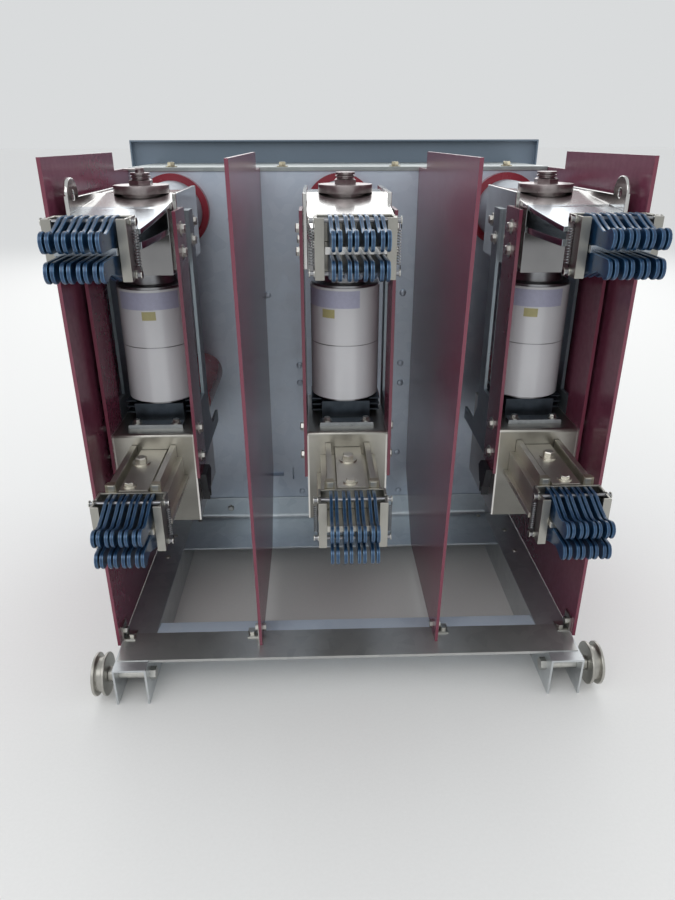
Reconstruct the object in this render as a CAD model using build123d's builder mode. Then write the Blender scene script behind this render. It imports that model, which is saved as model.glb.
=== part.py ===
"""Three-pole draw-out vacuum circuit breaker on a wheeled steel truck.

Millimetres, +Z up. The floor under the rails is Z = 0, the middle pole stands at X = 0,
and Y = 0 is half the depth. The contact fingers point to -Y and the front panel faces +Y.
"""

import os

from build123d import *

os.makedirs("parts", exist_ok=True)

# Overall layout
phase_spacing = 254.0
contact_spacing = 305.0
lower_contact_height = 298.0
contact_reach = 295.0
front_reach = 410.0
housing_reach = 200.0

pole_y = (contact_reach - front_reach) / 2
housing_back = pole_y + housing_reach
front_face = pole_y + front_reach
lower_z = lower_contact_height
upper_z = lower_z + contact_spacing
pole_places = {"left": -phase_spacing, "middle": 0.0, "right": phase_spacing}
ear_sides = {"left": -1, "middle": 0, "right": 1}

# Pole heads
lower_head_half = 53.0
side_plate = 5.0
head_front_reach = 92.0
head_back_reach = 55.0
head_edge_radius = 4.0
upper_head_above = 27.0
upper_head_below = 50.0
head_crest_above = 35.5
lower_head_above = 51.0
lower_head_below = 77.0
side_plate_above = 12.0
side_plate_front_reach = 60.0
side_plate_back_reach = 85.0

upper_head_half = lower_head_half - side_plate
upper_head_top = upper_z + upper_head_above
upper_head_bottom = upper_z - upper_head_below
head_crest = upper_z + head_crest_above
lower_head_top = lower_z + lower_head_above
lower_head_bottom = lower_z - lower_head_below
head_front = pole_y - head_front_reach
head_back = pole_y + head_back_reach

# Insulating struts and support bars outside the heads
strut_thickness = 4.0
strut_width = 56.0
strut_front_reach = 95.0
strut_above_upper = 22.0
strut_above_lower_head = 65.0
support_width = 30.0
support_front_reach = 8.0
support_above_upper = 15.0
support_foot_height = 85.0
support_foot_drop = 5.0
support_foot_back_reach = 100.0
support_foot_bend_reach = 45.0
support_post_clearance = 1.5
support_seam = 0.3
strut_bolt_head = 4.5
barrier_clearance = 1.5

strut_outer = lower_head_half + strut_thickness
strut_front = pole_y - strut_front_reach
strut_back = strut_front + strut_width
strut_bottom = lower_head_bottom + strut_above_lower_head
rail_half_span = phase_spacing + strut_outer + strut_bolt_head + barrier_clearance

# Truck rails and wheels
wheel_radius = 29.0
rail_height = 58.0
axle_below_rail_top = 23.0
rail_width = 45.0
rail_sheet = 3.0
rail_rear_reach = 206.0
axle_inset_rear = 22.0
axle_inset_front = 60.0
axle_radius = 6.35
axle_hole_clearance = 0.3
wheel_running_clearance = 0.05
wheel_gap = 11.0
wheel_width = 17.0
wheel_flange = 4.0
wheel_tread_radius = 23.0
wheel_edge = 1.2
axle_head_radius = 10.0
axle_head = 3.0
axle_end_play = 0.6
axle_nut_radius = 9.0
axle_nut = 8.0
panel_return = 14.0

rail_top = rail_height
axle_z = rail_top - axle_below_rail_top
rail_inner = rail_half_span - rail_width
rail_rear = pole_y - rail_rear_reach
rail_front = front_face - panel_return
axle_ys = {"rear": rail_rear + axle_inset_rear, "front": front_face - axle_inset_front}
wheel_inner = rail_half_span + wheel_gap
wheel_outer = wheel_inner + wheel_width

# Cross members between the rails
cross_sheet = 3.0
rear_cross_setback = 19.0
rear_cross_flat = 56.0
rear_cross_lip = 29.0
rear_cross_lip_drop = 4.0
rear_cross_flange = 30.0
front_cross_width = 109.0
front_cross_leg = 40.0

cross_rear = rail_rear + rear_cross_setback

# Mechanism housing and front panel
housing_height = 603.0
lid_sheet = 2.5
lid_lip = 6.0
panel_margin = 14.0
panel_above_housing = 37.0
panel_floor_gap = 10.0
panel_sheet = 3.0
opening_depth = 12.0
link_slot_width = 23.0
link_slot_height = 10.0
link_slot_x = -113.5
link_slot_rise = 88.0
slit_width = 2.5
slit_height = 23.0
slit_x = -84.0
slit_rise = 87.5
cable_hole_radius = 4.5
cable_hole_x = -163.0
cable_hole_rise = 53.0

housing_half = rail_half_span
housing_top = rail_top + housing_height
housing_front = front_face - panel_sheet
panel_half = wheel_outer + panel_margin
panel_top = housing_top + panel_above_housing

# Phase barriers
barrier_sheet = 4.0
barrier_above_housing = 22.0
barrier_step = 23.0
barrier_step_back = 80.0
outer_barrier_inset = 51.0
outer_barrier_lap = 25.0
inner_barrier_shift = 5.0
inner_barrier_inset = 44.0
inner_barrier_rake = 51.0
inner_barrier_foot = 105.0
inner_barrier_rise = 100.0

barrier_top = housing_top + barrier_above_housing
barrier_step_y = housing_back - barrier_step_back
inner_barrier_offset = phase_spacing / 2 - inner_barrier_shift

# Barrier brackets
bracket_sheet = 3.0
bracket_foot = 18.0
bracket_length = 20.0
bracket_height = 24.0
bracket_inset = 70.0
bracket_bolt_radius = 3.0
bracket_nut_radius = 5.5
bracket_nut = 4.0
bolt_clearance = 0.3

bracket_y = rail_rear + bracket_inset
bracket_bolt_z = rail_top + bracket_height / 2

# Vacuum interrupter
ceramic_radius = 46.0
ceramic_length = 149.0
neck_length = 27.0
seam_width = 1.2
seam_depth = 0.8
neck_radius = 32.0
end_cap_radius = 40.0
end_cap_length = 4.0

ceramic_top = upper_head_bottom - neck_length
ceramic_bottom = ceramic_top - ceramic_length

# Flexible connector under the interrupter
clamp_half_x = 33.0
clamp_half_y = 40.0
leaf_half_x = 47.0
leaf_half_y = 26.0
leaf_thickness = 2.0
leaf_gap = 6.0
leaf_count = 3

clamp_top = ceramic_bottom - end_cap_length

# Terminal disc on the upper head
boss_radius = 26.0
disc_radius = 34.0
disc_thickness = 9.5
hub_radius = 10.0
hub_height = 11.5
washer_radius = 12.0
washer_thickness = 2.5

# Contact fingers
finger_count = 8
finger_pitch = 7.3
finger_thickness = 3.4
finger_nose_reach = 9.5
finger_tip_lead = 4.5
finger_nose_height = 20.0
finger_waist_reach = 28.0
finger_waist_height = 15.0
finger_hump_length = 22.0
finger_hump_height = 26.5
finger_root_gap = 1.0
finger_rod_radius = 2.5
finger_rod_gap = 20.0
finger_rod_rise = 25.0
finger_rod_past_cage = 6.0

finger_row_half = (finger_pitch * (finger_count - 1) + finger_thickness) / 2

# Finger cages
cage_sheet = 3.0
cage_side_gap = 9.25
cage_mouth_gap = 2.75
cage_half_height = 29.0
cage_depth = 37.0
cage_reach = 209.0

cage_half = finger_row_half + cage_side_gap + cage_sheet
cage_mouth_half = finger_row_half + cage_mouth_gap
cage_back = pole_y - cage_reach
cage_front = cage_back - cage_depth
root_y = cage_back - cage_sheet - finger_root_gap
rod_y = cage_back - finger_rod_gap

# Contact arms
arm_half_at_cage = 43.0
arm_bulge = 1.2
web_half = 18.0
cover_thickness = 5.0
cover_above_at_cage = 16.0
bridge_half = 36.0
bridge_above = 19.0
bridge_below = 8.0
ledge_half = 41.0
ledge_thickness = 7.0
blade_side_gap = 0.5
blade_thickness = 7.0
blade_past_cage = 6.0
slot_clearance = 0.3
rib_width = 7.0
rib_height = 17.5
rib_offset = 25.5
rib_end_gap = 1.0
wear_plate_half = 17.0
wear_plate_thickness = 11.0

blade_half = cage_mouth_half - blade_side_gap

# Lifting ears at the front of the outer side plates
ear_width = 36.0
ear_front_reach = 133.0
ear_above_cover = 32.0
ear_hole_radius = 5.0
ear_strap_height = 18.0

# Post insulators between the housing and the heads
upper_post_drop = 4.0
upper_post_radius = 54.0
spigot_radius = 44.0
lower_post_below_top = 7.0
lower_post_offset = 24.0
lower_post_radius = 31.0
post_flange = 12.0

upper_post_z = upper_z - upper_post_drop
lower_post_z = lower_head_top - lower_post_below_top

# Drive levers below the struts
lever_thickness = 10.0
lever_width = 44.0
lever_height = 32.0
lever_gap = 0.3
lever_chamfer = 11.0
lever_strip_thickness = 2.5
lever_strip_pitch = 11.0
lever_strip_length = 14.0


def save(piece, label):
    """Label a finished piece and write it to its own file."""
    piece.label = label
    export_step(piece, f"parts/{label}.step")


def make_rail(side, label):
    """One truck rail: a folded channel, open below, drilled for both axles."""
    centre_x = side * (rail_half_span - rail_width / 2)
    with BuildPart() as rail:
        with BuildSketch(Plane.XZ.offset(-rail_front)):
            with Locations((centre_x, rail_height / 2)):
                Rectangle(rail_width, rail_height)
            with Locations((centre_x, rail_height / 2 - rail_sheet)):
                Rectangle(rail_width - 2 * rail_sheet, rail_height, mode=Mode.SUBTRACT)
        extrude(amount=rail_front - rail_rear)
        with BuildSketch(Plane.YZ):
            with Locations(*[(y, axle_z) for y in axle_ys.values()]):
                Circle(axle_radius + axle_hole_clearance)
        extrude(amount=side * wheel_outer, mode=Mode.SUBTRACT)
    save(rail.part, label)


make_rail(-1, "rail_left")
make_rail(1, "rail_right")


def make_wheel(side, end, label):
    """One grooved wheel: a turned steel spool with a rounded flange at each side."""
    centre = (axle_ys[end], axle_z)
    with BuildPart() as wheel:
        for start, width, radius in (
            (wheel_inner, wheel_flange, wheel_radius),
            (wheel_inner + wheel_flange, wheel_width - 2 * wheel_flange, wheel_tread_radius),
            (wheel_outer - wheel_flange, wheel_flange, wheel_radius),
        ):
            with BuildSketch(Plane.YZ.offset(side * start)):
                with Locations(centre):
                    Circle(radius)
            extrude(amount=side * width)
        rims = wheel.edges().filter_by(GeomType.CIRCLE).group_by(SortBy.RADIUS)[-1]
        fillet(rims, radius=wheel_edge)
        with BuildSketch(Plane.YZ.offset(side * wheel_inner)):
            with Locations(centre):
                Circle(axle_radius + wheel_running_clearance)
        extrude(amount=side * wheel_width, mode=Mode.SUBTRACT)
    save(wheel.part, label)


for side_name, side in (("left", -1), ("right", 1)):
    for end in axle_ys:
        make_wheel(side, end, f"wheel_{end}_{side_name}")


def make_axles():
    """Four stub axles: a shoulder against the rail, a head outside, a nut inside."""
    with BuildPart() as axles:
        for side in (-1, 1):
            shoulder = wheel_gap - axle_end_play
            head_start = wheel_outer + axle_end_play
            for y in axle_ys.values():
                with BuildSketch(Plane.YZ.offset(side * (rail_inner - axle_nut))):
                    with Locations((y, axle_z)):
                        Circle(axle_radius)
                extrude(amount=side * (head_start - rail_inner + axle_nut))
                with BuildSketch(Plane.YZ.offset(side * head_start)):
                    with Locations((y, axle_z)):
                        Circle(axle_head_radius)
                extrude(amount=side * axle_head)
                with BuildSketch(Plane.YZ.offset(side * rail_half_span)):
                    with Locations((y, axle_z)):
                        Circle(axle_head_radius)
                extrude(amount=side * shoulder)
                with BuildSketch(Plane.YZ.offset(side * (rail_inner - axle_nut))):
                    with Locations((y, axle_z)):
                        RegularPolygon(axle_nut_radius, 6)
                extrude(amount=side * axle_nut)
    save(axles.part, "wheel_axles")


make_axles()


def make_rear_cross_plate():
    """Folded plate tying the rails near their open ends; its rear lip falls slightly."""
    near = cross_rear
    crease = near + rear_cross_flat
    far = crease + rear_cross_lip
    low = rail_top - rear_cross_lip_drop
    with BuildPart() as plate:
        with BuildSketch(Plane.YZ.offset(-rail_inner)):
            with BuildLine():
                Polyline(
                    (near, rail_top),
                    (crease, rail_top),
                    (far, low),
                    (far, low - rear_cross_flange),
                    (far - cross_sheet, low - rear_cross_flange),
                    (far - cross_sheet, low - cross_sheet),
                    (crease, rail_top - cross_sheet),
                    (near, rail_top - cross_sheet),
                    close=True,
                )
            make_face()
        extrude(amount=2 * rail_inner)
    save(plate.part, "rear_cross_plate")


make_rear_cross_plate()


def make_front_cross_angle():
    """Angle that ties the rails and turns up against the back of the housing."""
    near = housing_back - front_cross_width
    with BuildPart() as angle:
        with BuildSketch(Plane.YZ.offset(-rail_inner)):
            with BuildLine():
                Polyline(
                    (near, rail_top),
                    (near, rail_top - cross_sheet),
                    (housing_back, rail_top - cross_sheet),
                    (housing_back, rail_top + front_cross_leg),
                    (housing_back - cross_sheet, rail_top + front_cross_leg),
                    (housing_back - cross_sheet, rail_top),
                    close=True,
                )
            make_face()
        extrude(amount=2 * rail_inner)
        with BuildSketch(Plane.XY.offset(rail_top)):
            with Locations((0, housing_back - cross_sheet / 2)):
                Rectangle(2 * rail_half_span, cross_sheet)
        extrude(amount=front_cross_leg)
    save(angle.part, "front_cross_angle")


make_front_cross_angle()


def make_housing():
    """Closed mechanism housing of galvanised sheet, standing on the rails, with a slot,
    a slit and a round hole in its back."""
    depth = housing_front - housing_back
    with BuildPart() as housing:
        with BuildSketch(Plane.XY.offset(rail_top)):
            with Locations((0, housing_back + depth / 2)):
                Rectangle(2 * housing_half, depth)
        extrude(amount=housing_height - lid_sheet)
        with BuildSketch(Plane.XZ.offset(-housing_back)):
            with Locations((link_slot_x, rail_top + link_slot_rise)):
                Rectangle(link_slot_width, link_slot_height)
            with Locations((slit_x, rail_top + slit_rise)):
                Rectangle(slit_width, slit_height)
            with Locations((cable_hole_x, rail_top + cable_hole_rise)):
                Circle(cable_hole_radius)
        extrude(amount=-opening_depth, mode=Mode.SUBTRACT)
    save(housing.part, "mechanism_housing")


make_housing()


def make_lid():
    """Top cover of the housing with a short lip turned down over the back sheet."""
    back = housing_back - lid_sheet
    with BuildPart() as lid:
        with BuildSketch(Plane.YZ.offset(-housing_half)):
            with BuildLine():
                Polyline(
                    (back, housing_top),
                    (back, housing_top - lid_lip),
                    (back + lid_sheet, housing_top - lid_lip),
                    (back + lid_sheet, housing_top - lid_sheet),
                    (housing_front, housing_top - lid_sheet),
                    (housing_front, housing_top),
                    close=True,
                )
            make_face()
        extrude(amount=2 * housing_half)
    save(lid.part, "housing_lid")


make_lid()


def make_front_panel():
    """Wide front panel of folded sheet with returns along all four edges."""
    height = panel_top - panel_floor_gap
    middle_z = panel_floor_gap + height / 2
    with BuildPart() as panel:
        with BuildSketch(Plane.XZ.offset(-front_face)):
            with Locations((0, middle_z)):
                Rectangle(2 * panel_half, height)
        extrude(amount=panel_return)
        with BuildSketch(Plane.XZ.offset(-front_face + panel_sheet)):
            with Locations((0, middle_z)):
                Rectangle(2 * (panel_half - panel_sheet), height - 2 * panel_sheet)
        extrude(amount=panel_return, mode=Mode.SUBTRACT)
    save(panel.part, "front_panel")


make_front_panel()


def make_outer_barrier(side, label):
    """Outer phase barrier: a flat sheet standing along the outside of the rail."""
    near = rail_rear + outer_barrier_inset
    far = housing_back + outer_barrier_lap
    with BuildPart() as barrier:
        with BuildSketch(Plane.YZ.offset(side * rail_half_span)):
            with BuildLine():
                Polyline(
                    (near, rail_top),
                    (near, barrier_top),
                    (barrier_step_y, barrier_top),
                    (barrier_step_y, barrier_top - barrier_step),
                    (far, barrier_top - barrier_step),
                    (far, rail_top),
                    close=True,
                )
            make_face()
            with Locations((bracket_y, bracket_bolt_z)):
                Circle(bracket_bolt_radius + bolt_clearance, mode=Mode.SUBTRACT)
        extrude(amount=side * barrier_sheet)
    save(barrier.part, label)


make_outer_barrier(-1, "outer_barrier_left")
make_outer_barrier(1, "outer_barrier_right")


def make_inner_barrier(side, label):
    """Phase barrier between two poles, its near edge raked and its rear foot cut away."""
    near = rail_rear + inner_barrier_inset
    far = housing_back - cross_sheet
    with BuildPart() as barrier:
        with BuildSketch(Plane.YZ.offset(side * (inner_barrier_offset - barrier_sheet / 2))):
            with BuildLine():
                Polyline(
                    (near, rail_top),
                    (near - inner_barrier_rake, barrier_top),
                    (barrier_step_y, barrier_top),
                    (barrier_step_y, barrier_top - barrier_step),
                    (far, barrier_top - barrier_step),
                    (far, rail_top + inner_barrier_rise),
                    (housing_back - inner_barrier_foot, rail_top),
                    close=True,
                )
            make_face()
            with Locations((bracket_y, bracket_bolt_z)):
                Circle(bracket_bolt_radius + bolt_clearance, mode=Mode.SUBTRACT)
        extrude(amount=side * barrier_sheet)
    save(barrier.part, label)


make_inner_barrier(-1, "inner_barrier_left")
make_inner_barrier(1, "inner_barrier_right")


def make_brackets():
    """Four angle brackets that bolt the barriers down, each with its stud and cross bolt."""
    inner_face = inner_barrier_offset + barrier_sheet / 2
    outer_face = rail_half_span
    with BuildPart() as brackets:
        for side in (-1, 1):
            for face, turn in ((inner_face, 1), (outer_face, -1)):
                away = side * turn
                with BuildSketch(Plane.XY.offset(rail_top)):
                    with Locations((side * face + away * bracket_foot / 2, bracket_y)):
                        Rectangle(bracket_foot, bracket_length)
                extrude(amount=bracket_sheet)
                with BuildSketch(Plane.XY.offset(rail_top)):
                    with Locations((side * face + away * bracket_sheet / 2, bracket_y)):
                        Rectangle(bracket_sheet, bracket_length)
                extrude(amount=bracket_height)
                with BuildSketch(Plane.XY.offset(rail_top + bracket_sheet)):
                    with Locations((side * face + away * (bracket_foot / 2 + bracket_sheet), bracket_y)):
                        RegularPolygon(bracket_nut_radius, 6)
                extrude(amount=bracket_nut)
                with BuildSketch(Plane.YZ.offset(side * face + away * (bracket_sheet + bracket_nut))):
                    with Locations((bracket_y, bracket_bolt_z)):
                        Circle(bracket_bolt_radius)
                extrude(amount=-away * (bracket_sheet + 2 * bracket_nut + barrier_sheet))
                with BuildSketch(Plane.YZ.offset(side * face - away * barrier_sheet)):
                    with Locations((bracket_y, bracket_bolt_z)):
                        RegularPolygon(bracket_nut_radius, 6)
                extrude(amount=-away * bracket_nut)
                with BuildSketch(Plane.YZ.offset(side * face + away * bracket_sheet)):
                    with Locations((bracket_y, bracket_bolt_z)):
                        RegularPolygon(bracket_nut_radius, 6)
                extrude(amount=away * bracket_nut)
    save(brackets.part, "barrier_brackets")


make_brackets()


def make_upper_head(pole):
    """Upper terminal head: a closed box whose top falls to the front, between two upright
    side plates. On the outer poles the outward plate runs on to the front and ends in a
    lifting ear."""
    x = pole_places[pole]
    plate_top = upper_head_top + side_plate_above
    with BuildPart() as head:
        with BuildSketch(Plane.YZ.offset(x - upper_head_half)):
            with BuildLine():
                Polyline(
                    (head_front, upper_head_bottom),
                    (head_front, upper_head_top),
                    (pole_y, head_crest),
                    (head_back, head_crest),
                    (head_back, upper_head_bottom),
                    close=True,
                )
            make_face()
        extrude(amount=2 * upper_head_half)
        for side in (-1, 1):
            inner = x + side * upper_head_half
            near = pole_y - side_plate_front_reach
            far = pole_y + side_plate_back_reach
            with BuildSketch(Plane.YZ.offset(inner)):
                with Locations(((near + far) / 2, (upper_head_bottom + plate_top) / 2)):
                    Rectangle(far - near, plate_top - upper_head_bottom)
            extrude(amount=side * side_plate)
            if side == ear_sides[pole]:
                ear_near = pole_y - ear_front_reach
                ear_y = ear_near + ear_width / 2
                hole_z = upper_head_top + ear_above_cover - ear_width / 2
                strap_bottom = plate_top - ear_strap_height
                with BuildSketch(Plane.YZ.offset(inner)):
                    with Locations(((ear_near + near) / 2, (strap_bottom + plate_top) / 2)):
                        Rectangle(near - ear_near, ear_strap_height)
                    with Locations((ear_y, (strap_bottom + hole_z) / 2)):
                        Rectangle(ear_width, hole_z - strap_bottom)
                    with Locations((ear_y, hole_z)):
                        Circle(ear_width / 2)
                        Circle(ear_hole_radius, mode=Mode.SUBTRACT)
                extrude(amount=side * side_plate)
    save(head.part, f"upper_head_{pole}")


def make_lower_head(pole):
    """Lower terminal head: a closed box with a flat front plate."""
    with BuildPart() as head:
        with BuildSketch(Plane.XY.offset(lower_head_bottom)):
            with Locations((pole_places[pole], (head_front + head_back) / 2)):
                Rectangle(2 * lower_head_half, head_back - head_front)
        extrude(amount=lower_head_top - lower_head_bottom)
        top_front = head.edges().filter_by(Axis.X).group_by(Axis.Z)[-1].sort_by(Axis.Y)[0]
        fillet(top_front, radius=head_edge_radius)
    save(head.part, f"lower_head_{pole}")


def make_terminal_disc(pole):
    """Terminal disc, levelled by a wedge-shaped boss and clamped by a hub and a washer."""
    x = pole_places[pole]
    with BuildPart() as disc:
        with BuildSketch(Plane.XY.offset(upper_head_top)):
            with Locations((x, pole_y)):
                Circle(boss_radius)
        extrude(amount=head_crest - upper_head_top)
        with BuildSketch(Plane.YZ.offset(x - disc_radius)):
            with BuildLine():
                Polyline(
                    (head_front, upper_head_top),
                    (pole_y, head_crest),
                    (head_back, head_crest),
                    (head_back, upper_head_top),
                    close=True,
                )
            make_face()
        extrude(amount=2 * disc_radius, mode=Mode.SUBTRACT)
        level = head_crest
        for radius, height in (
            (disc_radius, disc_thickness),
            (hub_radius, hub_height),
            (washer_radius, washer_thickness),
        ):
            with BuildSketch(Plane.XY.offset(level)):
                with Locations((x, pole_y)):
                    Circle(radius)
            extrude(amount=height)
            level += height
    save(disc.part, f"terminal_disc_{pole}")


def make_interrupter(pole):
    """Vacuum interrupter: two ceramic halves round a seam, with a metal neck at each end."""
    half_length = (ceramic_length - seam_width) / 2
    with BuildPart() as interrupter:
        level = clamp_top
        for radius, height in (
            (end_cap_radius, end_cap_length),
            (ceramic_radius, half_length),
            (ceramic_radius - seam_depth, seam_width),
            (ceramic_radius, half_length),
            (neck_radius, neck_length),
        ):
            with BuildSketch(Plane.XY.offset(level)):
                with Locations((pole_places[pole], pole_y)):
                    Circle(radius)
            extrude(amount=height)
            level += height
    save(interrupter.part, f"interrupter_{pole}")


def make_connector(pole):
    """Flexible connector: a clamp block with thin copper leaves reaching out on both sides."""
    with BuildPart() as connector:
        with BuildSketch(Plane.XY.offset(lower_head_top)):
            with Locations((pole_places[pole], pole_y)):
                Rectangle(2 * clamp_half_x, 2 * clamp_half_y)
        extrude(amount=clamp_top - lower_head_top)
        for index in range(leaf_count):
            level = clamp_top - leaf_thickness - index * (leaf_thickness + leaf_gap)
            with BuildSketch(Plane.XY.offset(level)):
                with Locations((pole_places[pole], pole_y)):
                    Rectangle(2 * leaf_half_x, 2 * leaf_half_y)
            extrude(amount=leaf_thickness)
    save(connector.part, f"flex_connector_{pole}")


def make_upper_arm(pole):
    """Upper contact arm: a conductor plate below a cover plate that falls from the head to
    the cage, both with bowed sides, and the blade that the fingers grip."""
    x = pole_places[pole]
    middle_half = (arm_half_at_cage + upper_head_half) / 2 + arm_bulge
    plate_bottom = upper_z - blade_thickness / 2
    with BuildPart() as arm:
        with BuildSketch(Plane.XY.offset(plate_bottom)):
            with BuildLine():
                Line((x - arm_half_at_cage, cage_back), (x + arm_half_at_cage, cage_back))
                Line((x - upper_head_half, head_front), (x + upper_head_half, head_front))
                for side in (-1, 1):
                    ThreePointArc(
                        (x + side * arm_half_at_cage, cage_back),
                        (x + side * middle_half, (cage_back + head_front) / 2),
                        (x + side * upper_head_half, head_front),
                    )
            make_face()
        extrude(amount=upper_head_top - plate_bottom)
        with BuildSketch(Plane.YZ.offset(x - phase_spacing / 2)):
            with BuildLine():
                Polyline(
                    (head_front, upper_head_top),
                    (cage_back, upper_z + cover_above_at_cage),
                    (cage_back, upper_head_top),
                    close=True,
                )
            make_face()
        extrude(amount=phase_spacing, mode=Mode.SUBTRACT)
        for side in (-1, 1):
            with BuildSketch(Plane.YZ.offset(x + side * web_half)):
                with BuildLine():
                    Polyline(
                        (head_front, upper_z + blade_thickness / 2),
                        (head_front, upper_head_top - cover_thickness),
                        (cage_back, upper_z + cover_above_at_cage - cover_thickness),
                        (cage_back, upper_z + blade_thickness / 2),
                        close=True,
                    )
                make_face()
            extrude(amount=side * phase_spacing / 2, mode=Mode.SUBTRACT)
        with BuildSketch(Plane.XY.offset(plate_bottom)):
            with Locations((x, (cage_front - blade_past_cage + cage_back) / 2)):
                Rectangle(2 * blade_half, cage_depth + blade_past_cage)
        extrude(amount=blade_thickness)
    save(arm.part, f"upper_arm_{pole}")


def make_lower_arm(pole):
    """Lower contact arm: a box-shaped bridge on a wider ledge plate, with two ribs and a
    wear plate on top, and the blade that the fingers grip."""
    x = pole_places[pole]
    length = head_front - cage_back
    middle_y = (head_front + cage_back) / 2
    bridge_bottom = lower_z - bridge_below
    bridge_top = lower_z + bridge_above
    with BuildPart() as arm:
        for level, half_width, run, height in (
            (bridge_bottom - ledge_thickness, ledge_half, length, ledge_thickness),
            (bridge_bottom, bridge_half, length, bridge_top - bridge_bottom),
            (bridge_top, wear_plate_half, length - 2 * rib_end_gap, wear_plate_thickness),
        ):
            with BuildSketch(Plane.XY.offset(level)):
                with Locations((x, middle_y)):
                    Rectangle(2 * half_width, run)
            extrude(amount=height)
        with BuildSketch(Plane.XY.offset(bridge_top)):
            with Locations((x, middle_y)):
                with GridLocations(2 * rib_offset, 0, 2, 1):
                    Rectangle(rib_width, length - 2 * rib_end_gap)
        extrude(amount=rib_height)
        with BuildSketch(Plane.XY.offset(lower_z - blade_thickness / 2)):
            with Locations((x, (cage_front - blade_past_cage + cage_back) / 2)):
                Rectangle(2 * blade_half, cage_depth + blade_past_cage)
        extrude(amount=blade_thickness)
    save(arm.part, f"lower_arm_{pole}")


def make_cages(pole):
    """Two bent-sheet cages that hold the upper and the lower finger clusters, slotted at
    the top and the bottom of their sides for the finger rods."""
    x = pole_places[pole]
    slot_half = finger_rod_radius + slot_clearance
    with BuildPart() as cages:
        for centre_z in (upper_z, lower_z):
            with BuildSketch(Plane.XY.offset(centre_z - cage_half_height)):
                with Locations((x, (cage_back + cage_front) / 2)):
                    Rectangle(2 * cage_half, cage_depth)
                    Rectangle(
                        2 * (cage_half - cage_sheet),
                        cage_depth - 2 * cage_sheet,
                        mode=Mode.SUBTRACT,
                    )
                with Locations((x, cage_front + cage_sheet / 2)):
                    Rectangle(2 * cage_mouth_half, cage_sheet, mode=Mode.SUBTRACT)
            extrude(amount=2 * cage_half_height)
            with BuildSketch(Plane.XZ.offset(-cage_back)):
                with Locations((x, centre_z)):
                    Rectangle(
                        2 * (blade_half + slot_clearance),
                        blade_thickness + 2 * slot_clearance,
                    )
            extrude(amount=cage_sheet, mode=Mode.SUBTRACT)
            with BuildSketch(Plane.YZ.offset(x - cage_half)):
                for up in (-1, 1):
                    with Locations((rod_y, centre_z + up * finger_rod_rise)):
                        Circle(slot_half)
                    with Locations((rod_y, centre_z + up * (finger_rod_rise + slot_half))):
                        Rectangle(2 * slot_half, 2 * slot_half)
            extrude(amount=2 * cage_half, mode=Mode.SUBTRACT)
    save(cages.part, f"finger_cages_{pole}")


def make_fingers(pole):
    """Two clusters of contact fingers. A rod strings each row together, and its ends stand
    out beyond the cage."""
    nose_y = pole_y - contact_reach
    x = pole_places[pole]
    with BuildPart() as fingers:
        for centre_z in (upper_z, lower_z):
            for up in (-1, 1):
                contact = centre_z + up * blade_thickness / 2
                nose_top = contact + up * finger_nose_height
                hump = contact + up * finger_hump_height
                waist = contact + up * finger_waist_height
                with BuildSketch(Plane.YZ.offset(x - finger_row_half)):
                    with BuildLine():
                        Polyline(
                            (nose_y + finger_nose_reach, nose_top),
                            (nose_y + finger_waist_reach, waist),
                            (root_y - finger_hump_length, hump),
                            (root_y, hump),
                            (root_y, contact),
                            (nose_y + finger_tip_lead, contact),
                        )
                        ThreePointArc(
                            (nose_y + finger_tip_lead, contact),
                            (nose_y, (contact + nose_top) / 2),
                            (nose_y + finger_nose_reach, nose_top),
                        )
                    make_face()
                extrude(amount=2 * finger_row_half)
        with BuildSketch(Plane.XY.offset(lower_z - 2 * cage_half_height)):
            with Locations((x, (root_y + nose_y) / 2)):
                with GridLocations(finger_pitch, 0, finger_count - 1, 1):
                    Rectangle(finger_pitch - finger_thickness, 2 * (root_y - nose_y))
        extrude(amount=contact_spacing + 4 * cage_half_height, mode=Mode.SUBTRACT)
        rod_half = cage_half + finger_rod_past_cage
        with BuildSketch(Plane.YZ.offset(x - rod_half)):
            for centre_z in (upper_z, lower_z):
                for up in (-1, 1):
                    with Locations((rod_y, centre_z + up * finger_rod_rise)):
                        Circle(finger_rod_radius)
        extrude(amount=2 * rod_half)
    save(fingers.part, f"contact_fingers_{pole}")


def make_struts(pole):
    """Two insulating struts that tie the upper head to the lower head."""
    x = pole_places[pole]
    top = upper_z + strut_above_upper
    with BuildPart() as struts:
        for side in (-1, 1):
            with BuildSketch(Plane.YZ.offset(x + side * lower_head_half)):
                with Locations(((strut_front + strut_back) / 2, (strut_bottom + top) / 2)):
                    Rectangle(strut_width, top - strut_bottom)
            extrude(amount=side * strut_thickness)
    save(struts.part, f"insulating_struts_{pole}")


def make_supports():
    """Steel support bars behind the struts, each on a foot that tapers to the back and
    passes under the lower post insulator."""
    bar_near = pole_y - support_front_reach
    foot_near = strut_back + support_seam
    foot_far = pole_y + support_foot_back_reach
    foot_bottom = strut_bottom + support_foot_drop
    foot_top = foot_bottom + support_foot_height
    foot_tip = lower_post_z - lower_post_radius - support_post_clearance
    top = upper_z + support_above_upper
    with BuildPart() as supports:
        for x in pole_places.values():
            for side in (-1, 1):
                with BuildSketch(Plane.YZ.offset(x + side * lower_head_half)):
                    with BuildLine():
                        Polyline(
                            (foot_near, foot_bottom),
                            (foot_near, foot_top),
                            (bar_near, foot_top),
                            (pole_y + support_foot_bend_reach, foot_tip),
                            (foot_far, foot_tip),
                            (foot_far, foot_bottom),
                            close=True,
                        )
                    make_face()
                    with Locations((bar_near + support_width / 2, (foot_bottom + top) / 2)):
                        Rectangle(support_width, top - foot_bottom)
                extrude(amount=side * strut_thickness)
    save(supports.part, "support_bars")


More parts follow.
